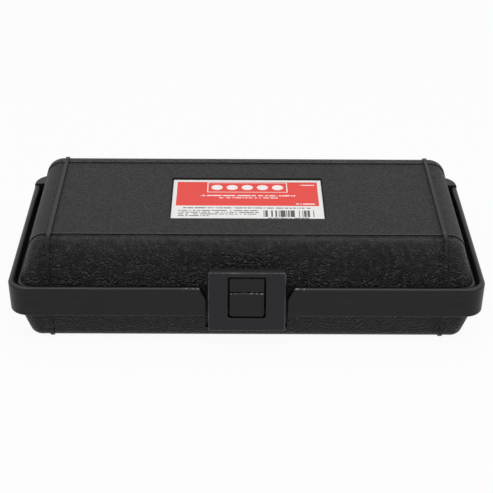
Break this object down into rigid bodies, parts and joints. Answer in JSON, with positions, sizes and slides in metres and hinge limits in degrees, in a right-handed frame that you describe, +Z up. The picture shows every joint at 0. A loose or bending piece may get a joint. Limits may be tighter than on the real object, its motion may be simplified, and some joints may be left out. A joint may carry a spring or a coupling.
{
  "type": "bit set case",
  "caption": "Hard plastic case for driver bits: hinged lid inside a raised rim band, front snap latch around a two-part boss, moulded tray with bits and adapters.",
  "frame": {"origin": "middle of the case's footprint, on the surface that the two foot ribs stand on", "axes": "X along the width, latch side faces -Y, hinge side faces +Y, +Z up through the lid"},
  "size_m": [0.2304, 0.1256, 0.0536],
  "materials": {
    "black_case_plastic": "moulded grain",
    "black_latch_plastic": "satin",
    "printed_label": "printed film",
    "pin_steel": "zinc plated",
    "bit_steel": "sand blasted",
    "adapter_steel": "nickel plated"
  },
  "bodies": {
    "base": {"base_shell": "black_case_plastic", "hinge_pin_left": "pin_steel", "hinge_pin_right": "pin_steel", "latch_pin": "pin_steel", "cross_bit_1": "bit_steel", "cross_bit_2": "bit_steel", "cross_bit_3": "bit_steel", "cross_bit_4": "bit_steel", "flat_bit_1": "bit_steel", "flat_bit_2": "bit_steel", "flat_bit_3": "bit_steel", "square_bit_1": "bit_steel", "square_bit_2": "bit_steel", "square_bit_3": "bit_steel", "star_bit_1": "bit_steel", "star_bit_2": "bit_steel", "star_bit_3": "bit_steel", "star_bit_4": "bit_steel", "hexagon_bit_1": "bit_steel", "hexagon_bit_2": "bit_steel", "bit_holder": "adapter_steel", "small_socket_adapter": "adapter_steel", "large_socket_adapter": "adapter_steel"},
    "lid": {"lid_shell": "black_case_plastic", "label": "printed_label"},
    "latch": {"latch": "black_latch_plastic"}
  },
  "joints": [
    {"name": "lid_hinge", "type": "hinge", "parent": "base", "child": "lid", "pos_m": [0, 0.0578, 0.0262], "axis": [-1, 0, 0], "range_deg": [0, 165]},
    {"name": "latch_pivot", "type": "hinge", "parent": "base", "child": "latch", "pos_m": [0, -0.0576, 0.015], "axis": [1, 0, 0], "range_deg": [0, 90]}
  ]
}
